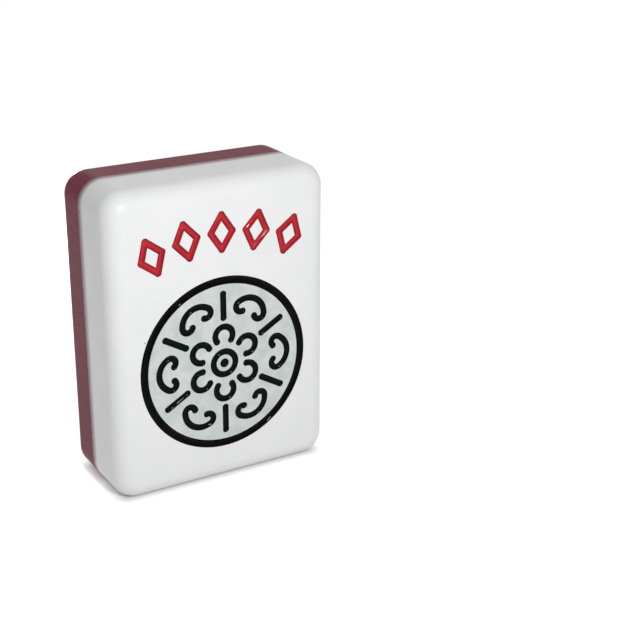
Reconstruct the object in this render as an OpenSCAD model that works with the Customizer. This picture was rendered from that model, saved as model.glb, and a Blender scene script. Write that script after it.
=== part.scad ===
// A two-layer mahjong tile that stands on its short edge.
// An opaque white block carries engraved and painted ornaments on its front.
// Behind it a clear red slab, with a glitter film under it, carries an engraved heart on its back.
// The origin is at the middle of the foot: +Z up, the front faces -Y, the back faces +Y.

/* [Tile] */
// Height of the tile, foot to top
tile_h = 30; // [29:0.5:36]
// Width of the tile
tile_w = 22.5; // [21.5:0.5:28]
// Radius of the four corners seen from the front
corner_r = 2.2; // [1.9:0.1:3.2]

/* [Layers] */
// Thickness of the white face block
face_t = 5.8; // [4:0.1:10]
// Thickness of the adhesive seam behind the face block
bond_t = 0.25; // [0.1:0.05:0.4]
// Thickness of the glitter film
film_t = 0.15; // [0.1:0.05:0.3]
// Thickness of the clear back slab
slab_t = 4.2; // [3:0.05:7]
// Radius of the rounding round the front face
front_edge_r = 1.7; // [1:0.1:1.8]
// Radius of the rounding round the back face
back_edge_r = 1.2; // [0.6:0.1:1.8]

/* [Grooves] */
// Straight wall of a groove above its round bottom
groove_wall = 0.12; // [0.1:0.01:0.2]
// Depth of the paint's surface below the face
paint_drop = 0.06; // [0.02:0.01:0.09]

/* [Ring] */
// Diameter of the ring, to the middle of its groove
ring_d = 16.44; // [15.5:0.02:17]
// Width of the ring's groove
ring_groove_w = 0.78; // [0.5:0.02:0.9]
// Height of the ring's centre above the foot
ring_z = 12.16; // [11.4:0.02:12.8]

/* [Rosette] */
// Width of the rosette's grooves
rosette_groove_w = 0.64; // [0.4:0.02:0.7]
// Width of the pip in the middle
pip_w = 0.9; // [0.6:0.02:1.1]

/* [Lozenges] */
// Width of a lozenge, to the middle of its groove
lozenge_w = 2.2; // [1.8:0.05:2.4]
// Height of a lozenge, to the middle of its groove
lozenge_h = 3.3; // [2.8:0.05:3.6]
// Width of the lozenges' grooves
lozenge_groove_w = 0.68; // [0.4:0.02:0.7]
// Distance from one lozenge to the next, along the arch
lozenge_pitch = 3.58; // [3.4:0.02:3.7]
// Radius of the arch through the lozenges' centres
arch_r = 20; // [17:0.5:40]
// Height of the middle lozenge's centre above the foot
arch_z = 25.05; // [24.4:0.05:25.4]

/* [Heart] */
// Radius of the heart's lobes, to the middle of the groove
heart_lobe_r = 4.2; // [3.9:0.05:4.4]
// Slope of the heart's straight sides
heart_side_angle = 49; // [47:1:51]
// Slope of the sides at the tip
heart_tip_angle = 70; // [62:1:72]
// Radius of the sides' flare at the tip
heart_tip_r = 12; // [8:0.5:14]
// Slope of the lobes where they come down into the notch
heart_notch_angle = 51; // [48:1:55]
// Width of the heart's groove
heart_groove_w = 0.78; // [0.5:0.02:0.88]
// Height of the heart's tip above the foot
heart_z = 6; // [4.5:0.1:7.5]

/* [Heart spots] */
// Width of a spot's groove
spot_groove_w = 0.7; // [0.4:0.02:0.76]
// Radius that a bean spot bends round
bean_bend_r = 1; // [0.8:0.05:1.2]
// Radius that a crescent spot bends round
crescent_bend_r = 0.6; // [0.5:0.02:0.66]
// Distance from one spot to the next in a row
spot_pitch = 2.35; // [2.3:0.05:3]
// Distance that a spot's middle keeps from the middle of the heart's groove
spot_margin = 1.5; // [1.5:0.05:2]

/* [Hidden] */
$fn = 64;
LOZENGES = 5;
SPOKES = 6;
SPOT_ROWS = 8;
SPOT_COLUMNS = 4;

// How far a cutter runs out above the face
overrun = 0.2;
// Width of the dot where a cutter dwells, to the groove's width
dwell_share = 1.05;

// Depths of the layers, measured along Y
tile_t = face_t + bond_t + film_t + slab_t;
front_y = -tile_t/2;
bond_y = front_y + face_t;
film_y = bond_y + bond_t;
slab_y = film_y + film_t;
back_y = slab_y + slab_t;

// The rosette keeps to shares of the ring's radius
ring_r = ring_d/2;
eye_share = 0.14;
petal_place_share = 0.335;
petal_bend_share = 0.11;
petal_half_turn = 125;
scroll_crest_share = 0.82;
scroll_bend_share = 0.213;
scroll_half_turn = 62;
curl_bend_share = 0.064;
curl_turn = 165;
spoke_shares = [0.555, 0.84];

// Lozenge outline from its foot: four runs, with a turn on the spot after each
lozenge_lean = atan2(lozenge_w, lozenge_h);
lozenge_side = norm([lozenge_w, lozenge_h])/2;
lozenge_turns = [2*lozenge_lean, 180 - 2*lozenge_lean, 2*lozenge_lean, 180 - 2*lozenge_lean];
lozenge_moves = [for (turn = lozenge_turns, move = [[lozenge_side, 0], [0, turn]]) move];

// Heart outline from its tip: each side flares out, then runs straight into its lobe.
// The lobes meet at the notch.
heart_flare = heart_tip_angle - heart_side_angle;
heart_turn = 180 + heart_notch_angle - heart_side_angle;
heart_side_run = (heart_lobe_r*(sin(heart_side_angle) + sin(heart_notch_angle))
                  - heart_tip_r*(sin(heart_tip_angle) - sin(heart_side_angle)))/cos(heart_side_angle);
heart_moves = [[heart_tip_r, -heart_flare], [heart_side_run, 0], [heart_lobe_r, heart_turn],
               [0, -2*heart_notch_angle],
               [heart_lobe_r, heart_turn], [heart_side_run, 0], [heart_tip_r, -heart_flare]];
heart_side_normal = [sin(heart_side_angle), -cos(heart_side_angle)];
heart_lobe = [heart_lobe_r*sin(heart_notch_angle),
              heart_tip_r*(cos(heart_side_angle) - cos(heart_tip_angle))
              + heart_side_run*sin(heart_side_angle) + heart_lobe_r*cos(heart_side_angle)];

// Spots lie in staggered rows inside the heart
spot_row_pitch = spot_pitch*sin(60);
bean_half_turn = 34;
crescent_half_turn = 105;
spot_row_turn = 100;
spot_column_turn = 65;
function in_lobe(p) = norm(p - heart_lobe) < heart_lobe_r - spot_margin;
function in_wedge(p) =
    p[1] < heart_lobe[1] && (p - heart_lobe)*heart_side_normal < heart_lobe_r - spot_margin;
function in_heart(p) = in_lobe([abs(p[0]), p[1]]) || in_wedge([abs(p[0]), p[1]]);
function spot_place(row, column) =
    [(column + (row % 2)/2)*spot_pitch, heart_lobe[1] + (1 - row)*spot_row_pitch];

// Cross-section of a groove, with a round bottom and open above the face
module groove_section(w) {
    translate([0, -groove_wall]) circle(d = w);
    translate([-w/2, -groove_wall]) square([w, groove_wall + overrun]);
}

// Cross-section of a groove or of the paint that fills it to just below the face
module section(w, paint) {
    difference() {
        groove_section(w);
        if (paint) translate([-w, -paint_drop]) square([2*w, paint_drop + 2*overrun]);
    }
}

// Round dot
module dot(w, paint) {
    depth = groove_wall + w;
    rotate_extrude() intersection() {
        section(w, paint);
        translate([0, -depth]) square([w, depth + 2*overrun]);
    }
}

// Where a stroke starts, stops or changes course the cutter dwells, and leaves a slightly wider dot
module dwell(w, paint) {
    dot(dwell_share*w, paint);
}

// Closed ring
module ring(r, w, paint) {
    rotate_extrude() translate([r, 0]) section(w, paint);
}

// One straight run of a stroke, from the origin along +X
module run(length, w, paint) {
    rotate([90, 0, 90]) linear_extrude(length) section(w, paint);
}

// One bend of a stroke, from the origin along +X to the left
module bend(r, turn, w, paint) {
    translate([0, r, 0]) rotate(-90) rotate_extrude(angle = turn) translate([r, 0]) section(w, paint);
}

// Moves follow each other from the origin along +X.
// [length, 0] is a straight run, [radius, turn] a bend and [0, turn] a turn on the spot.
// Turns to the left are positive.
module stroke(moves, w, paint, closed = false, i = 0) {
    if (i < len(moves)) {
        size = moves[i][0];
        turn = moves[i][1];
        ahead = turn == 0 ? [size, 0] : size*[sin(abs(turn)), sign(turn)*(1 - cos(turn))];
        if (size > 0) {
            dwell(w, paint);
            if (turn == 0) run(size, w, paint);
            if (turn > 0) bend(size, turn, w, paint);
            if (turn < 0) mirror([0, 1, 0]) bend(size, -turn, w, paint);
        }
        translate([ahead[0], ahead[1], 0]) rotate(turn) stroke(moves, w, paint, closed, i + 1);
    } else if (!closed) {
        dwell(w, paint);
    }
}

// Arc about the origin, even about +X
module arc_stroke(r, half_turn, w, paint) {
    rotate(-half_turn) translate([r, 0, 0]) rotate(90) stroke([[r, 2*half_turn]], w, paint);
}

// Stands a drawing on the front face, or on the back face as seen from behind
module on_front(z) {
    translate([0, front_y, z]) rotate([90, 0, 0]) children();
}

module on_back(z) {
    translate([0, back_y, z]) rotate([90, 0, 180]) children();
}

// Pattern round the ring's centre
module around(first_angle) {
    on_front(ring_z)
        for (k = [0:SPOKES - 1]) rotate(first_angle + k*360/SPOKES) children();
}

module ring_shape(paint) {
    on_front(ring_z) ring(ring_r, ring_groove_w, paint);
}

module pip_shape(paint) {
    on_front(ring_z) dot(pip_w, paint);
}

module eye_ring_shape(paint) {
    on_front(ring_z) ring(eye_share*ring_r, rosette_groove_w, paint);
}

module petal_shapes(paint) {
    around(90) translate([petal_place_share*ring_r, 0, 0])
        arc_stroke(petal_bend_share*ring_r, petal_half_turn, rosette_groove_w, paint);
}

// Each scroll is an arc whose two ends curl in
module scroll_shapes(paint) {
    bend_r = scroll_bend_share*ring_r;
    curl_r = curl_bend_share*ring_r;
    moves = [[curl_r, curl_turn], [bend_r, 2*scroll_half_turn], [curl_r, curl_turn]];
    around(90 + 180/SPOKES) translate([scroll_crest_share*ring_r - bend_r, 0, 0])
        rotate(-scroll_half_turn) translate([bend_r - curl_r, 0, 0])
            rotate(-curl_turn) translate([curl_r, 0, 0]) rotate(90) stroke(moves, rosette_groove_w, paint);
}

module spoke_shapes(paint) {
    from = spoke_shares[0]*ring_r;
    to = spoke_shares[1]*ring_r;
    around(90) translate([from, 0, 0]) stroke([[to - from, 0]], rosette_groove_w, paint);
}

// Lozenges stand square to the arch, numbered from the left
module lozenge_shape(i, paint) {
    lean = (i - (LOZENGES + 1)/2)*lozenge_pitch/arch_r*180/PI;
    on_front(arch_z - arch_r) rotate(-lean) translate([0, arch_r - lozenge_h/2, 0])
        rotate(90 - lozenge_lean) stroke(lozenge_moves, lozenge_groove_w, paint, true);
}

module heart_shape(paint) {
    on_back(heart_z) rotate(heart_tip_angle) stroke(heart_moves, heart_groove_w, paint, true);
}

// A spot is a bean in every other place of a row, and a crescent in the rest
module heart_spot_shapes(paint) {
    on_back(heart_z)
        for (row = [0:SPOT_ROWS], column = [-SPOT_COLUMNS:SPOT_COLUMNS]) {
            place = spot_place(row, column);
            if (in_heart(place))
                translate([place[0], place[1], 0]) rotate(row*spot_row_turn + column*spot_column_turn)
                    if ((row + column) % 2 == 0)
                        translate([-bean_bend_r, 0, 0])
                            arc_stroke(bean_bend_r, bean_half_turn, spot_groove_w, paint);
                    else
                        arc_stroke(crescent_bend_r, crescent_half_turn, spot_groove_w, paint);
        }
}

// Section of a slab from its middle to its side, with one rounded edge
module slab_section(reach, t, edge_r) {
    square([reach, t - edge_r]);
    square([reach - edge_r, t]);
    translate([reach - edge_r, t - edge_r])
        intersection() {
            circle(edge_r);
            square(edge_r);
        }
}

module full_slab_section(reach, t, edge_r) {
    slab_section(reach, t, edge_r);
    mirror([1, 0]) slab_section(reach, t, edge_r);
}

// Slab lying on its flat face, rounded at its corners and round its upper edge
module rounded_slab(t, edge_r) {
    inner_w = tile_w - 2*corner_r;
    inner_h = tile_h - 2*corner_r;
    translate([0, inner_h/2, 0])
        rotate([90, 0, 0]) linear_extrude(inner_h) full_slab_section(tile_w/2, t, edge_r);
    translate([-inner_w/2, 0, 0])
        rotate([90, 0, 90]) linear_extrude(inner_w) full_slab_section(tile_h/2, t, edge_r);
    for (quarter = [0:3]) {
        side_x = quarter == 0 || quarter == 3 ? 1 : -1;
        side_y = quarter < 2 ? 1 : -1;
        translate([side_x*inner_w/2, side_y*inner_h/2, 0])
            rotate(90*quarter) rotate_extrude(angle = 90) slab_section(corner_r, t, edge_r);
    }
}

// Flat sheet with the tile's outline
module sheet(t) {
    inner_w = tile_w - 2*corner_r;
    inner_h = tile_h - 2*corner_r;
    linear_extrude(t) union() {
        square([tile_w, inner_h], center = true);
        square([inner_w, tile_h], center = true);
        for (x = [-inner_w/2, inner_w/2], y = [-inner_h/2, inner_h/2]) translate([x, y]) circle(corner_r);
    }
}

module face_block() {
    color("white") difference() {
        translate([0, bond_y, tile_h/2]) rotate([90, 0, 0]) rounded_slab(face_t, front_edge_r);
        ring_shape(false);
        pip_shape(false);
        eye_ring_shape(false);
        petal_shapes(false);
        scroll_shapes(false);
        spoke_shapes(false);
        for (i = [1:LOZENGES]) lozenge_shape(i, false);
    }
}

module bond_line() {
    color("thistle") translate([0, film_y, tile_h/2]) rotate([90, 0, 0]) sheet(bond_t);
}

module glitter_film() {
    color("firebrick") translate([0, slab_y, tile_h/2]) rotate([90, 0, 0]) sheet(film_t);
}

module back_slab() {
    color("indianred", 0.5) difference() {
        translate([0, slab_y, tile_h/2]) rotate([90, 0, 180]) rounded_slab(slab_t, back_edge_r);
        heart_shape(false);
        heart_spot_shapes(false);
    }
}

module ring_inlay() {
    color("black") ring_shape(true);
}

module pip_inlay() {
    color("darkslategray") pip_shape(true);
}

module eye_ring_inlay() {
    color("darkslategray") eye_ring_shape(true);
}

module petal_inlays() {
    color("darkslategray") petal_shapes(true);
}

module scroll_inlays() {
    color("darkslategray") scroll_shapes(true);
}

module spoke_inlays() {
    color("darkslategray") spoke_shapes(true);
}

module lozenge_inlay(i) {
    color("crimson") lozenge_shape(i, true);
}

module heart_inlay() {
    color("black") heart_shape(true);
}

module heart_spot_inlays() {
    color("black") heart_spot_shapes(true);
}

face_block();
bond_line();
glitter_film();
back_slab();
ring_inlay();
pip_inlay();
eye_ring_inlay();
petal_inlays();
scroll_inlays();
spoke_inlays();
for (i = [1:LOZENGES])
    lozenge_inlay(i);
heart_inlay();
heart_spot_inlays();
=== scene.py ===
import math

import bpy
import numpy as np
from mathutils import Matrix, Vector, noise
from mathutils.bvhtree import BVHTree
from mathutils.kdtree import KDTree


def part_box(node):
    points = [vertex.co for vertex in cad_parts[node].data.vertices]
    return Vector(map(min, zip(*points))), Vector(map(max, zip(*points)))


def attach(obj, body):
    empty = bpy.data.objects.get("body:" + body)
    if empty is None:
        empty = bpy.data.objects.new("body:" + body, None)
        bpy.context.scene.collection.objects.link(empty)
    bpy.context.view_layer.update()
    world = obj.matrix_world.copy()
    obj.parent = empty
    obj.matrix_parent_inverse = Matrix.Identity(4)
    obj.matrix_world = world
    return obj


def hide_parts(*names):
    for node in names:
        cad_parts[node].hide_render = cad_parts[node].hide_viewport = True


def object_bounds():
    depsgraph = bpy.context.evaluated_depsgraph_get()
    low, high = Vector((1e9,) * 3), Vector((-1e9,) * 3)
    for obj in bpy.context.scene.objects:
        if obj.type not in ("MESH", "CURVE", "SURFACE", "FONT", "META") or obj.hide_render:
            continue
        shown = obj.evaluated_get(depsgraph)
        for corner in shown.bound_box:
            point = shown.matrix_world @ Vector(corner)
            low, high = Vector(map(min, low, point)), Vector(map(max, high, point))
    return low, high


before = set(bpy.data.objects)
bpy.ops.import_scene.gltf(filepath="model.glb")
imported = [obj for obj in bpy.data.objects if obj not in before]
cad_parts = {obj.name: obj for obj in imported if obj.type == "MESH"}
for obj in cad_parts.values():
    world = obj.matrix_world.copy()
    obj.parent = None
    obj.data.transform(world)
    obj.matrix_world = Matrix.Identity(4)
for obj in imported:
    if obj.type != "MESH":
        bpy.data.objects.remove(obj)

CAD_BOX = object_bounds()
MM = 0.001


def rgba(r, g, b):
    return (r, g, b, 1.0)


# Camera: where it stands from the foot of the front face, which way it looks and its lens,
# worked out from the tile's edges in the photograph
CAMERA_FROM_FACE = Vector((-54.2, -106.8, 63.1))*MM
CAMERA_YAW = math.radians(31.2)
CAMERA_PITCH = math.radians(21.3)
CAMERA_ROLL = math.radians(0.26)
CAMERA_LENS = 77.5
CAMERA_CLIP = 1*MM
SENSOR_WIDTH = 36.0

# Studio: light from all round, the white that the eye sees, and a small lamp each for front and back
WORLD_LEVEL = 0.44
WHITE_LEVEL = 1.0
LAMP_SIZE = 8*MM
LAMP_POWER = 0.040
FRONT_LAMP = Vector((-13.5, -83.5, 57.0))*MM
BACK_LAMP = Vector((9.0, 92.0, 33.0))*MM

# Floor: a hair below the tile, with a glow that lifts it to white and fades out beside and under the tile,
# where the fade is a painted shadow
FLOOR_RADIUS = 1.6
FLOOR_SIDES = 64
FLOOR_GAP = 0.02*MM
FLOOR_GLOW = 0.66
FLOOR_COLOUR = rgba(0.80, 0.80, 0.80)
FLOOR_SHADE_REACH = 1.6*MM
FLOOR_SHADE_FADE = 0.8*MM

# Paint: how far below the face it meets the groove's wall, how far it sinks between the walls as a share of
# the half width, the depth of the groove's straight wall, and how far its edge is tucked into the wall
PAINT_CONTACT = 0.022*MM
PAINT_SAG_SHARE = 0.50
PAINT_WALL = 0.12*MM
PAINT_TUCK = 0.004*MM

# Paint: how uneven its skin is, as a share of the sag, over what length, and where its mesh has a crease
PAINT_UNEVEN_SHARE = 0.30
PAINT_UNEVEN_SIZE = 1.1*MM
PAINT_CREASE = math.radians(50)

# Paint's grid: the side of a cell, the cells kept free round an outline, and the step along the outline
PAINT_STEP = 0.05*MM
GRID_MARGIN = 2
RIM_STEP = 0.01*MM

# Reading the solids: points this close to a face lie on it, and points the same to this many digits of
# a millimetre are one
ON_FACE = 0.001*MM
SAME_DIGITS = 4

# Glitter film: how far it stands into the clear slab, and how far its rim keeps in from the tile's side
FILM_RISE = 0.02*MM
FILM_INSET = 0.006*MM
CORNER_STEPS = 12

# White block: how far from the seam its colour turns a dark mauve, and where the haze in the ring
# fades out, as shares of the ring's radius
SEAM_TINT_REACH = 0.7*MM
HAZE_END_SHARE = 1.02
HAZE_FULL_SHARE = 0.90

# Clear slab: what it absorbs, as density times one less the colour, per metre
SLAB_TINT = rgba(0.60, 0.21, 0.33)
SLAB_DENSITY = 200.0

# Textures: features per metre
WHITE_MOTTLE_SCALE = 260.0
WHITE_SHEEN_SCALE = 420.0
WHITE_GRAIN_SCALE = 1600.0
HAZE_SCALE = 700.0
SPECK_SCALE = 1500.0
PAINT_BLOT_SCALE = 900.0
PAINT_SKIN_SCALE = 1500.0
GLUE_SCALE = 800.0
FLAKE_SCALE = 5200.0
FILM_CLOUD_SCALE = 260.0
STREAK_SCALE = 5000.0
FLOOR_SCALE = 40.0

# Textures: how high the relief stands, and how far the saw streaks are drawn out through the tile's thickness
WHITE_GRAIN_HEIGHT = 0.01*MM
PAINT_SKIN_HEIGHT = 0.02*MM
STREAK_HEIGHT = 0.03*MM
STREAK_SQUEEZE = (1.0, 0.06, 1.0)

# Colours
WHITE = rgba(1.0, 1.0, 1.0)
BLACK = rgba(0.0, 0.0, 0.0)
BLOCK_SHADE = rgba(0.80, 0.81, 0.81)
BLOCK_WHITE = rgba(0.88, 0.88, 0.88)
HAZE_COLOUR = rgba(0.50, 0.565, 0.53)
SEAM_TINT_COLOUR = rgba(0.27, 0.18, 0.225)
SPECK_COLOUR = rgba(0.10, 0.10, 0.11)
GLUE_DARK = rgba(0.14, 0.070, 0.100)
GLUE_LIGHT = rgba(0.24, 0.145, 0.185)
FLAKE_DARKEST = rgba(0.12, 0.001, 0.006)
FLAKE_LIGHTEST = rgba(0.95, 0.16, 0.22)
FLAKE_REDS = (
    (0.16, rgba(0.34, 0.004, 0.016)),
    (0.50, rgba(0.52, 0.012, 0.034)),
    (0.86, rgba(0.66, 0.030, 0.060)),
)
FILM_CLOUD_COLOUR = rgba(0.54, 0.014, 0.040)
FILM_RIM_COLOUR = rgba(0.10, 0.012, 0.026)
SLAB_POLISHED = rgba(1.0, 0.96, 0.97)
SLAB_SAWN_DARK = rgba(0.115, 0.003, 0.018)
SLAB_SAWN_LIGHT = rgba(0.185, 0.008, 0.034)
SLAB_SHADOW = rgba(0.94, 0.92, 0.93)

# Enamels: colour in the middle of a stroke, a darker colour along its edges that is painted shade of the
# groove's walls, and specular level
ENAMELS = {
    "black_enamel": (rgba(0.0004, 0.0006, 0.0005), rgba(0.0003, 0.0004, 0.0004), 0.06),
    "green_enamel": (rgba(0.0012, 0.0050, 0.0032), rgba(0.0005, 0.0016, 0.0011), 0.06),
    "red_enamel": (rgba(0.56, 0.014, 0.030), rgba(0.30, 0.004, 0.012), 0.20),
}

# The solids that are painted grooves, with their enamel
FRONT_INLAYS = {
    "ring_inlay": "black_enamel",
    "pip_inlay": "green_enamel",
    "eye_ring_inlay": "green_enamel",
    "petal_inlays": "green_enamel",
    "scroll_inlays": "green_enamel",
    "spoke_inlays": "green_enamel",
}
FRONT_INLAYS.update({name: "red_enamel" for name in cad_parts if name.startswith("lozenge_inlay")})
BACK_INLAYS = {"heart_inlay": "black_enamel", "heart_spot_inlays": "black_enamel"}


# Node helpers

def new_material(name):
    material = bpy.data.materials.new(name)
    material.use_nodes = True
    tree = material.node_tree
    tree.nodes.clear()
    return material, tree


def fill(tree, socket, value):
    """Links another node's output to a socket, or sets the socket to a plain value."""
    if isinstance(value, bpy.types.NodeSocket):
        tree.links.new(value, socket)
    else:
        socket.default_value = value


def add(tree, kind, settings=None, **inputs):
    """Adds a node with its properties and inputs. An input goes by its name, or as i0, i1 by its number."""
    node = tree.nodes.new(kind)
    for key, value in (settings or {}).items():
        setattr(node, key, value)
    for key, value in inputs.items():
        numbered = key[1:].isdigit()
        fill(tree, node.inputs[int(key[1:]) if numbered else key.replace("_", " ")], value)
    return node


def math_node(tree, operation, a, b=0.0, clamp=False):
    return add(tree, "ShaderNodeMath", {"operation": operation, "use_clamp": clamp}, i0=a, i1=b).outputs[0]


def vector_node(tree, operation, a, b=(0.0, 0.0, 0.0)):
    return add(tree, "ShaderNodeVectorMath", {"operation": operation}, i0=a, i1=b).outputs[0]


def length_of(tree, vector):
    return add(tree, "ShaderNodeVectorMath", {"operation": "LENGTH"}, i0=vector).outputs["Value"]


def y_of(tree, vector):
    """The part of a vector that runs through the tile's thickness."""
    return add(tree, "ShaderNodeSeparateXYZ", None, Vector=vector).outputs[1]


def mix_colour(tree, factor, a, b):
    # A colour mix has its two colours at inputs 6 and 7 and its result at output 2
    return add(tree, "ShaderNodeMix", {"data_type": "RGBA"}, i0=factor, i6=a, i7=b).outputs[2]


def mix_shaders(tree, factor, a, b):
    return add(tree, "ShaderNodeMixShader", None, i0=factor, i1=a.outputs[0], i2=b.outputs[0]).outputs[0]


def map_range(tree, value, low, high, to_low=0.0, to_high=1.0, smooth=True):
    kind = "SMOOTHSTEP" if smooth else "LINEAR"
    return add(tree, "ShaderNodeMapRange", {"interpolation_type": kind}, Value=value, From_Min=low,
               From_Max=high, To_Min=to_low, To_Max=to_high).outputs[0]


def noise_node(tree, place, scale, detail=2.0, roughness=0.5):
    return add(tree, "ShaderNodeTexNoise", None, Vector=place, Scale=scale, Detail=detail,
               Roughness=roughness).outputs[0]


def relief(tree, height, strength, distance):
    return add(tree, "ShaderNodeBump", None, Strength=strength, Distance=distance, Height=height).outputs[0]


def object_place(tree):
    return add(tree, "ShaderNodeTexCoord").outputs["Object"]


def seen_rays(tree):
    """1 for rays that show a surface: straight to the eye, in a reflection or through glass."""
    path = add(tree, "ShaderNodeLightPath").outputs
    mirrored = math_node(tree, "MAXIMUM", path["Is Glossy Ray"], path["Is Transmission Ray"])
    return math_node(tree, "MAXIMUM", path["Is Camera Ray"], mirrored)


def finish_material(tree, surface, volume=None):
    output = add(tree, "ShaderNodeOutputMaterial", None, Surface=surface)
    if volume is not None:
        tree.links.new(volume, output.inputs["Volume"])


# White block

def ring_haze(tree, place, colour):
    """A thin, smeared haze of paint that was left inside the ring."""
    low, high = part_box("ring_inlay")
    radius = (high.x - low.x)/2
    from_centre = vector_node(tree, "SUBTRACT", place, tuple((low + high)/2))
    distance = length_of(tree, from_centre)
    inside = map_range(tree, distance, HAZE_END_SHARE*radius, HAZE_FULL_SHARE*radius)
    smear = noise_node(tree, place, HAZE_SCALE, 4.0, 0.65)
    haze = math_node(tree, "MULTIPLY", inside, map_range(tree, smear, 0.30, 0.72, 0.50, 0.90))
    return mix_colour(tree, haze, colour, HAZE_COLOUR)


def seam_tint(tree, place, colour):
    """The white turns a dark mauve towards the seam."""
    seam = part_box("bond_line")[0].y
    # The white darkens to mauve over the last stretch before the seam
    tint_share = map_range(tree, y_of(tree, place), seam - SEAM_TINT_REACH, seam, 0.0, 0.85)
    return mix_colour(tree, tint_share, colour, SEAM_TINT_COLOUR)


def dark_specks(tree, place, colour):
    """A few tiny dark inclusions: one in some thirty cells has a speck, each of its own size."""
    cells = add(tree, "ShaderNodeTexVoronoi", None, Vector=place, Scale=SPECK_SCALE).outputs
    chance = add(tree, "ShaderNodeSeparateColor", None, Color=cells["Color"]).outputs[0]
    size = map_range(tree, chance, 0.97, 1.0, 0.0, 0.14, smooth=False)
    speck = math_node(tree, "LESS_THAN", cells["Distance"], size)
    return mix_colour(tree, math_node(tree, "MULTIPLY", speck, 0.75), colour, SPECK_COLOUR)


def white_plastic():
    """Polished white plastic with a faint mottle."""
    material, tree = new_material("white_plastic")
    place = object_place(tree)
    mottle = noise_node(tree, place, WHITE_MOTTLE_SCALE, 3.0)
    colour = mix_colour(tree, mottle, BLOCK_SHADE, BLOCK_WHITE)
    colour = ring_haze(tree, place, colour)
    colour = seam_tint(tree, place, colour)
    colour = dark_specks(tree, place, colour)
    rough = map_range(tree, noise_node(tree, place, WHITE_SHEEN_SCALE, 3.0), 0.3, 0.7, 0.30, 0.38)
    grain = noise_node(tree, place, WHITE_GRAIN_SCALE, 3.0, 0.6)
    shader = add(tree, "ShaderNodeBsdfPrincipled", None, Base_Color=colour, Roughness=rough, IOR=1.50,
                 Specular_IOR_Level=0.30, Normal=relief(tree, grain, 0.12, WHITE_GRAIN_HEIGHT))
    finish_material(tree, shader.outputs[0])
    return material


# Paint, glue, film and slab

def enamel(name, middle, edge, gloss):
    """Paint that pooled in a groove, with painted shade that darkens it along the walls, and a wavy skin."""
    material, tree = new_material(name)
    place = object_place(tree)
    pool = add(tree, "ShaderNodeAttribute", {"attribute_name": "pool"}).outputs["Fac"]
    blot = noise_node(tree, place, PAINT_BLOT_SCALE, 3.0, 0.6)
    uneven = map_range(tree, blot, 0.2, 0.8, -0.22, 0.22)
    # Painted shade: the colour darkens towards the groove's walls, broken up by random blots
    edge_shade_and_blot = math_node(tree, "ADD", map_range(tree, pool, 0.10, 0.85), uneven, clamp=True)
    colour = mix_colour(tree, edge_shade_and_blot, edge, middle)
    rough = map_range(tree, blot, 0.3, 0.7, 0.03, 0.06)
    skin = noise_node(tree, place, PAINT_SKIN_SCALE, 2.0)
    shader = add(tree, "ShaderNodeBsdfPrincipled", None, Base_Color=colour, Roughness=rough, IOR=1.45,
                 Specular_IOR_Level=gloss, Normal=relief(tree, skin, 0.25, PAINT_SKIN_HEIGHT))
    finish_material(tree, shader.outputs[0])
    return material


def seam_glue():
    """Mauve adhesive line, mottled by the film behind it."""
    material, tree = new_material("seam_glue")
    mottle = noise_node(tree, object_place(tree), GLUE_SCALE, 3.0)
    colour = mix_colour(tree, mottle, GLUE_DARK, GLUE_LIGHT)
    rough = map_range(tree, mottle, 0.3, 0.7, 0.25, 0.40)
    shader = add(tree, "ShaderNodeBsdfPrincipled", None, Base_Color=colour, Roughness=rough)
    finish_material(tree, shader.outputs[0])
    return material


def flake_red(tree, place, chance):
    """Each flake's own red, evened out in soft clouds."""
    ramp = add(tree, "ShaderNodeValToRGB", None, Fac=chance)
    steps = ramp.color_ramp.elements
    steps[0].color = FLAKE_DARKEST
    steps[1].color = FLAKE_LIGHTEST
    for position, colour in FLAKE_REDS:
        steps.new(position).color = colour
    cloud = noise_node(tree, place, FILM_CLOUD_SCALE, 3.0)
    return mix_colour(tree, map_range(tree, cloud, 0.3, 0.7, 0.0, 0.35), ramp.outputs[0], FILM_CLOUD_COLOUR)


def glitter():
    """Red film of tiny metal flakes, each with its own red and its own tilt, and a plain dark rim."""
    material, tree = new_material("red_glitter")
    place = object_place(tree)
    flakes = add(tree, "ShaderNodeTexVoronoi", None, Vector=place, Scale=FLAKE_SCALE).outputs["Color"]
    chances = add(tree, "ShaderNodeSeparateColor", None, Color=flakes).outputs
    normal = add(tree, "ShaderNodeNewGeometry").outputs["Normal"]
    flat = map_range(tree, math_node(tree, "ABSOLUTE", y_of(tree, normal)), 0.3, 0.7)
    colour = mix_colour(tree, flat, FILM_RIM_COLOUR, flake_red(tree, place, chances[0]))
    lean = vector_node(tree, "SUBTRACT", flakes, (0.5, 0.5, 0.5))
    tilt = add(tree, "ShaderNodeVectorMath", {"operation": "SCALE"}, i0=lean,
               Scale=math_node(tree, "MULTIPLY", flat, 0.75)).outputs[0]
    tilted = vector_node(tree, "NORMALIZE", vector_node(tree, "ADD", normal, tilt))
    shine = math_node(tree, "MULTIPLY", flat, map_range(tree, chances[1], 0.55, 1.0, 0.10, 0.60))
    shader = add(tree, "ShaderNodeBsdfPrincipled", None, Base_Color=colour, Metallic=shine, Roughness=0.34,
                 Normal=tilted)
    finish_material(tree, shader.outputs[0])
    return material


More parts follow.
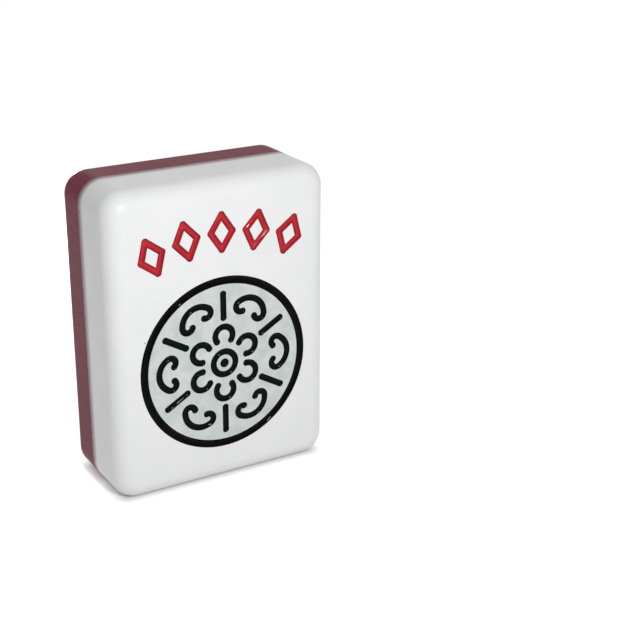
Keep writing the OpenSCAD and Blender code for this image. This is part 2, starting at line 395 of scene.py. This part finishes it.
def clear_red():
    """Clear slab, tinted red: polished on the back, its sawn sides satin outside and mirrors from within."""
    material, tree = new_material("clear_red")
    coordinates = add(tree, "ShaderNodeTexCoord").outputs
    sawn = map_range(tree, math_node(tree, "ABSOLUTE", y_of(tree, coordinates["Normal"])), 0.75, 0.12)
    from_within = add(tree, "ShaderNodeNewGeometry").outputs["Backfacing"]
    satin = math_node(tree, "MULTIPLY", sawn, math_node(tree, "SUBTRACT", 1.0, from_within))
    streak_place = vector_node(tree, "MULTIPLY", coordinates["Object"], STREAK_SQUEEZE)
    streaks = noise_node(tree, streak_place, STREAK_SCALE, 3.0, 0.65)
    bands = mix_colour(tree, map_range(tree, streaks, 0.25, 0.75), SLAB_SAWN_DARK, SLAB_SAWN_LIGHT)
    colour = mix_colour(tree, satin, SLAB_POLISHED, bands)
    rough = math_node(tree, "MULTIPLY", satin, 0.42)
    clear = map_range(tree, satin, 0.0, 1.0, 1.0, 0.10)
    bump = relief(tree, streaks, math_node(tree, "MULTIPLY", sawn, 0.55), STREAK_HEIGHT)
    glass = add(tree, "ShaderNodeBsdfPrincipled", None, Base_Color=colour, Roughness=rough, IOR=1.36,
                Specular_IOR_Level=0.12, Transmission_Weight=clear, Normal=bump)
    see_through = add(tree, "ShaderNodeBsdfTransparent", None, Color=SLAB_SHADOW)
    shadow = add(tree, "ShaderNodeLightPath").outputs["Is Shadow Ray"]
    tint = add(tree, "ShaderNodeVolumeAbsorption", None, Color=SLAB_TINT, Density=SLAB_DENSITY)
    finish_material(tree, mix_shaders(tree, shadow, glass, see_through), tint.outputs[0])
    return material


# Paint pieces

def top_triangles(mesh, outward):
    """An inlay's flat top: the mesh's points seen square to the face, and the triangles of the top."""
    mesh.calc_loop_triangles()
    points = np.array([v.co for v in mesh.vertices])
    height = points[:, 1]*outward
    on_top = height.max() - height < ON_FACE
    corners = np.array([t.vertices for t in mesh.loop_triangles])
    corners = corners[on_top[corners].all(axis=1)]
    flat = points[:, (0, 2)]
    first = {}
    same = [first.setdefault(tuple(key), i) for i, key in enumerate(np.round(flat/MM, SAME_DIGITS))]
    return flat, np.array(same)[corners]


def open_edges(corners):
    """The edges that only one triangle has."""
    edges = np.concatenate([corners[:, (0, 1)], corners[:, (1, 2)], corners[:, (2, 0)]])
    edges, count = np.unique(np.sort(edges, axis=1), axis=0, return_counts=True)
    return edges[count == 1]


class InlayPlan:
    """The outline of a CAD inlay's top, seen square to the face: what it covers, and how far its edge is."""

    def __init__(self, node, outward):
        flat, corners = top_triangles(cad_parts[node].data, outward)
        self.cover = BVHTree.FromPolygons([(x, z, 0.0) for x, z in flat], corners.tolist())
        self.rim = flat[open_edges(corners)]
        self.low = self.rim.reshape(-1, 2).min(axis=0)
        self.high = self.rim.reshape(-1, 2).max(axis=0)
        self.tree = self.rim_tree()

    def rim_tree(self):
        samples = []
        for start, end in self.rim:
            count = max(1, math.ceil(np.linalg.norm(end - start)/RIM_STEP))
            samples.extend(start + (end - start)*(k + 0.5)/count for k in range(count))
        tree = KDTree(len(samples))
        for index, (x, z) in enumerate(samples):
            tree.insert((x, z, 0.0), index)
        tree.balance()
        return tree

    def depth_in(self, x, z):
        """Distance to the outline, positive inside it."""
        gap = self.tree.find((x, z, 0.0))[2]
        inside = self.cover.ray_cast((x, z, 1.0), (0.0, 0.0, -1.0))[0] is not None
        return gap if inside else -gap


def grid_field(plan, step):
    """Signed distance to the outline, with the tuck added, at the points of a square grid round it."""
    origin = plan.low - GRID_MARGIN*step
    counts = np.ceil((plan.high - origin)/step).astype(int) + GRID_MARGIN + 1
    field = np.empty(counts)
    for i in range(counts[0]):
        for j in range(counts[1]):
            field[i, j] = plan.depth_in(origin[0] + i*step, origin[1] + j*step)
    return origin, field + PAINT_TUCK


def contour_cells(origin, field, step):
    """Cuts the grid along the outline: points, how deep each lies inside, faces and the outline's edges."""
    points, depths, index = [], [], {}

    def corner(i, j):
        if (i, j) not in index:
            index[i, j] = len(points)
            points.append(origin + step*np.array((i, j)))
            depths.append(field[i, j])
        return index[i, j]

    def crossing(a, b):
        key = (a, b) if a < b else (b, a)
        if key not in index:
            p, q = key
            share = field[p]/(field[p] - field[q])
            index[key] = len(points)
            points.append(origin + step*(np.array(p) + share*(np.array(q) - np.array(p))))
            depths.append(0.0)
        return index[key]

    faces, rim = [], []
    inside = field > 0
    touched = inside[:-1, :-1] | inside[1:, :-1] | inside[1:, 1:] | inside[:-1, 1:]
    for i, j in np.argwhere(touched).tolist():
        ring = [(i, j), (i + 1, j), (i + 1, j + 1), (i, j + 1)]
        outline, cuts = [], []
        for here, ahead in zip(ring, ring[1:] + ring[:1]):
            if inside[here]:
                outline.append(corner(*here))
            if inside[here] != inside[ahead]:
                cuts.append(crossing(here, ahead))
                outline.append(cuts[-1])
        faces.append(outline)
        edges = zip(outline, outline[1:] + outline[:1])
        rim.extend((a, b) for a, b in edges if a in cuts and b in cuts)
    return np.array(points), np.array(depths), faces, rim


def paint_mesh(name, plan, outward, face_y):
    """Closed mesh with a hollow skin between the groove's walls and a round bottom."""
    points, depths, faces, rim = contour_cells(*grid_field(plan, PAINT_STEP), PAINT_STEP)
    half = depths.max()
    pool = np.clip(depths/half, 0.0, 1.0)
    bowl = pool*(2.0 - pool)
    wave = np.array([noise.noise(Vector((x, face_y, z))/PAINT_UNEVEN_SIZE) for x, z in points])
    skin = PAINT_CONTACT + PAINT_SAG_SHARE*half*bowl*(1.0 + PAINT_UNEVEN_SHARE*wave)
    bottom = PAINT_WALL + half*np.sqrt(bowl)
    count = len(points)
    verts = [(x, face_y - outward*d, z) for deep in (skin, bottom) for (x, z), d in zip(points, deep)]
    turn = -1 if outward > 0 else 1
    shape = []
    for face in faces:
        top = face[::turn]
        shape.append(top)
        shape.append([v + count for v in reversed(top)])
    for a, b in rim:
        shape.append([b, a, a + count, b + count][::turn])
    mesh = bpy.data.meshes.new(name)
    mesh.from_pydata(verts, [], shape)
    mesh.shade_smooth()
    mesh.set_sharp_from_angle(angle=PAINT_CREASE)
    attribute = mesh.attributes.new("pool", "FLOAT", "POINT")
    attribute.data.foreach_set("value", np.concatenate([pool, pool]))
    return mesh


def paint_piece(node, material, outward, face_y):
    """Paint that fills a groove."""
    mesh = paint_mesh(node + "_paint", InlayPlan(node, outward), outward, face_y)
    mesh.materials.append(material)
    piece = bpy.data.objects.new(node + "_paint", mesh)
    bpy.context.scene.collection.objects.link(piece)
    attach(piece, "root")
    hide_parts(node)


# Glitter film

def film_outline():
    """The tile's outline, a little smaller, with its rounded corners read from the CAD film."""
    low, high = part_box("glitter_film")
    points = np.array([v.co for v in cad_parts["glitter_film"].data.vertices])
    side = points[np.abs(points[:, 0] - high.x) < ON_FACE]
    corner = high.z - side[:, 2].max()
    radius = corner - FILM_INSET
    reach_x = high.x - corner
    reach_z = (high.z - low.z)/2 - corner
    middle = (low.z + high.z)/2
    outline = []
    for quarter, (sign_x, sign_z) in enumerate(((1, 1), (-1, 1), (-1, -1), (1, -1))):
        for k in range(CORNER_STEPS + 1):
            angle = math.radians(90*(quarter + k/CORNER_STEPS))
            outline.append((sign_x*reach_x + radius*math.cos(angle),
                            middle + sign_z*reach_z + radius*math.sin(angle)))
    return outline


def film_piece(material):
    """The film as a thin plate that stands a hair into the clear slab, so that they touch."""
    low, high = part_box("glitter_film")
    outline = film_outline()
    count = len(outline)
    verts = [(x, y, z) for y in (low.y, high.y + FILM_RISE) for x, z in outline]
    shape = [list(range(count)), [v + count for v in reversed(range(count))]]
    shape.extend([k, k + count, (k + 1) % count + count, (k + 1) % count] for k in range(count))
    mesh = bpy.data.meshes.new("film")
    mesh.from_pydata(verts, [], shape)
    mesh.materials.append(material)
    piece = bpy.data.objects.new("film", mesh)
    bpy.context.scene.collection.objects.link(piece)
    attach(piece, "root")
    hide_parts("glitter_film")


# Stage, light and camera

def white_floor():
    """White floor, whose glow shows to the eye, in reflections and through glass, and fades beside and under
    the tile as a painted shadow.
    """
    material, tree = new_material("white_floor")
    place = object_place(tree)
    shade = map_range(tree, noise_node(tree, place, FLOOR_SCALE, 2.0), 0.3, 0.7, 0.985, 1.0)
    matte = add(tree, "ShaderNodeBsdfDiffuse", None, Color=mix_colour(tree, shade, BLACK, FLOOR_COLOUR))
    low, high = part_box("face_block")[0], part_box("back_slab")[1]
    reach = FLOOR_SHADE_REACH
    shaded = ((high.x - low.x)/2 - reach, (high.y - low.y)/2 - reach, 1.0)
    outside = vector_node(tree, "SUBTRACT", vector_node(tree, "ABSOLUTE", place), shaded)
    gap = length_of(tree, vector_node(tree, "MAXIMUM", outside))
    # Painted shadow: the glow fades out towards the tile and is gone under it
    strength = map_range(tree, gap, 0.0, reach + FLOOR_SHADE_FADE, 0.0, FLOOR_GLOW)
    glow = add(tree, "ShaderNodeEmission", None, Color=WHITE, Strength=strength)
    lit = add(tree, "ShaderNodeAddShader", None, i0=matte.outputs[0], i1=glow.outputs[0])
    finish_material(tree, mix_shaders(tree, seen_rays(tree), matte, lit))
    return material


def make_floor():
    level = CAD_BOX[0].z - FLOOR_GAP
    ring = [(FLOOR_RADIUS*math.cos(a), FLOOR_RADIUS*math.sin(a), level)
            for a in np.linspace(0, 2*math.pi, FLOOR_SIDES, endpoint=False)]
    mesh = bpy.data.meshes.new("floor")
    mesh.from_pydata(ring, [], [list(range(FLOOR_SIDES))])
    mesh.materials.append(white_floor())
    floor = bpy.data.objects.new("floor", mesh)
    bpy.context.scene.collection.objects.link(floor)


def make_world():
    """Soft light from all round, which the eye sees as white."""
    world = bpy.data.worlds.new("studio")
    world.use_nodes = True
    tree = world.node_tree
    tree.nodes.clear()
    soft = add(tree, "ShaderNodeBackground", None, Color=WHITE, Strength=WORLD_LEVEL)
    white = add(tree, "ShaderNodeBackground", None, Color=WHITE, Strength=WHITE_LEVEL)
    add(tree, "ShaderNodeOutputWorld", None, Surface=mix_shaders(tree, seen_rays(tree), soft, white))
    bpy.context.scene.world = world


def make_lamp(name, place, aim):
    data = bpy.data.lights.new(name, "AREA")
    data.shape = "DISK"
    data.size = LAMP_SIZE
    data.energy = LAMP_POWER
    lamp = bpy.data.objects.new(name, data)
    lamp.location = place
    lamp.rotation_euler = (aim - place).to_track_quat("-Z", "Y").to_euler()
    bpy.context.scene.collection.objects.link(lamp)


def make_camera():
    data = bpy.data.cameras.new("camera")
    data.lens = CAMERA_LENS
    data.sensor_width = SENSOR_WIDTH
    data.clip_start = CAMERA_CLIP
    camera = bpy.data.objects.new("camera", data)
    level = math.cos(CAMERA_PITCH)
    ahead = Vector((math.sin(CAMERA_YAW)*level, math.cos(CAMERA_YAW)*level, -math.sin(CAMERA_PITCH)))
    turn = ahead.to_track_quat("-Z", "Y").to_matrix() @ Matrix.Rotation(CAMERA_ROLL, 3, "Z")
    place = CAMERA_FROM_FACE + Vector((0, CAD_BOX[0].y, 0))
    camera.matrix_world = Matrix.Translation(place) @ turn.to_4x4()
    bpy.context.scene.collection.objects.link(camera)
    bpy.context.scene.camera = camera


def dress(node, material):
    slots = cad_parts[node].data.materials
    slots.clear()
    slots.append(material)


def main():
    bpy.context.scene.view_settings.view_transform = "Standard"
    low, high = CAD_BOX
    middle = (low + high)/2
    make_camera()
    make_floor()
    make_world()
    make_lamp("front_lamp", FRONT_LAMP, middle)
    make_lamp("back_lamp", BACK_LAMP, middle)

    paints = {name: enamel(name, *look) for name, look in ENAMELS.items()}
    dress("face_block", white_plastic())
    dress("bond_line", seam_glue())
    dress("back_slab", clear_red())
    film_piece(glitter())
    for node, slot in FRONT_INLAYS.items():
        paint_piece(node, paints[slot], -1, low.y)
    for node, slot in BACK_INLAYS.items():
        paint_piece(node, paints[slot], 1, high.y)


main()
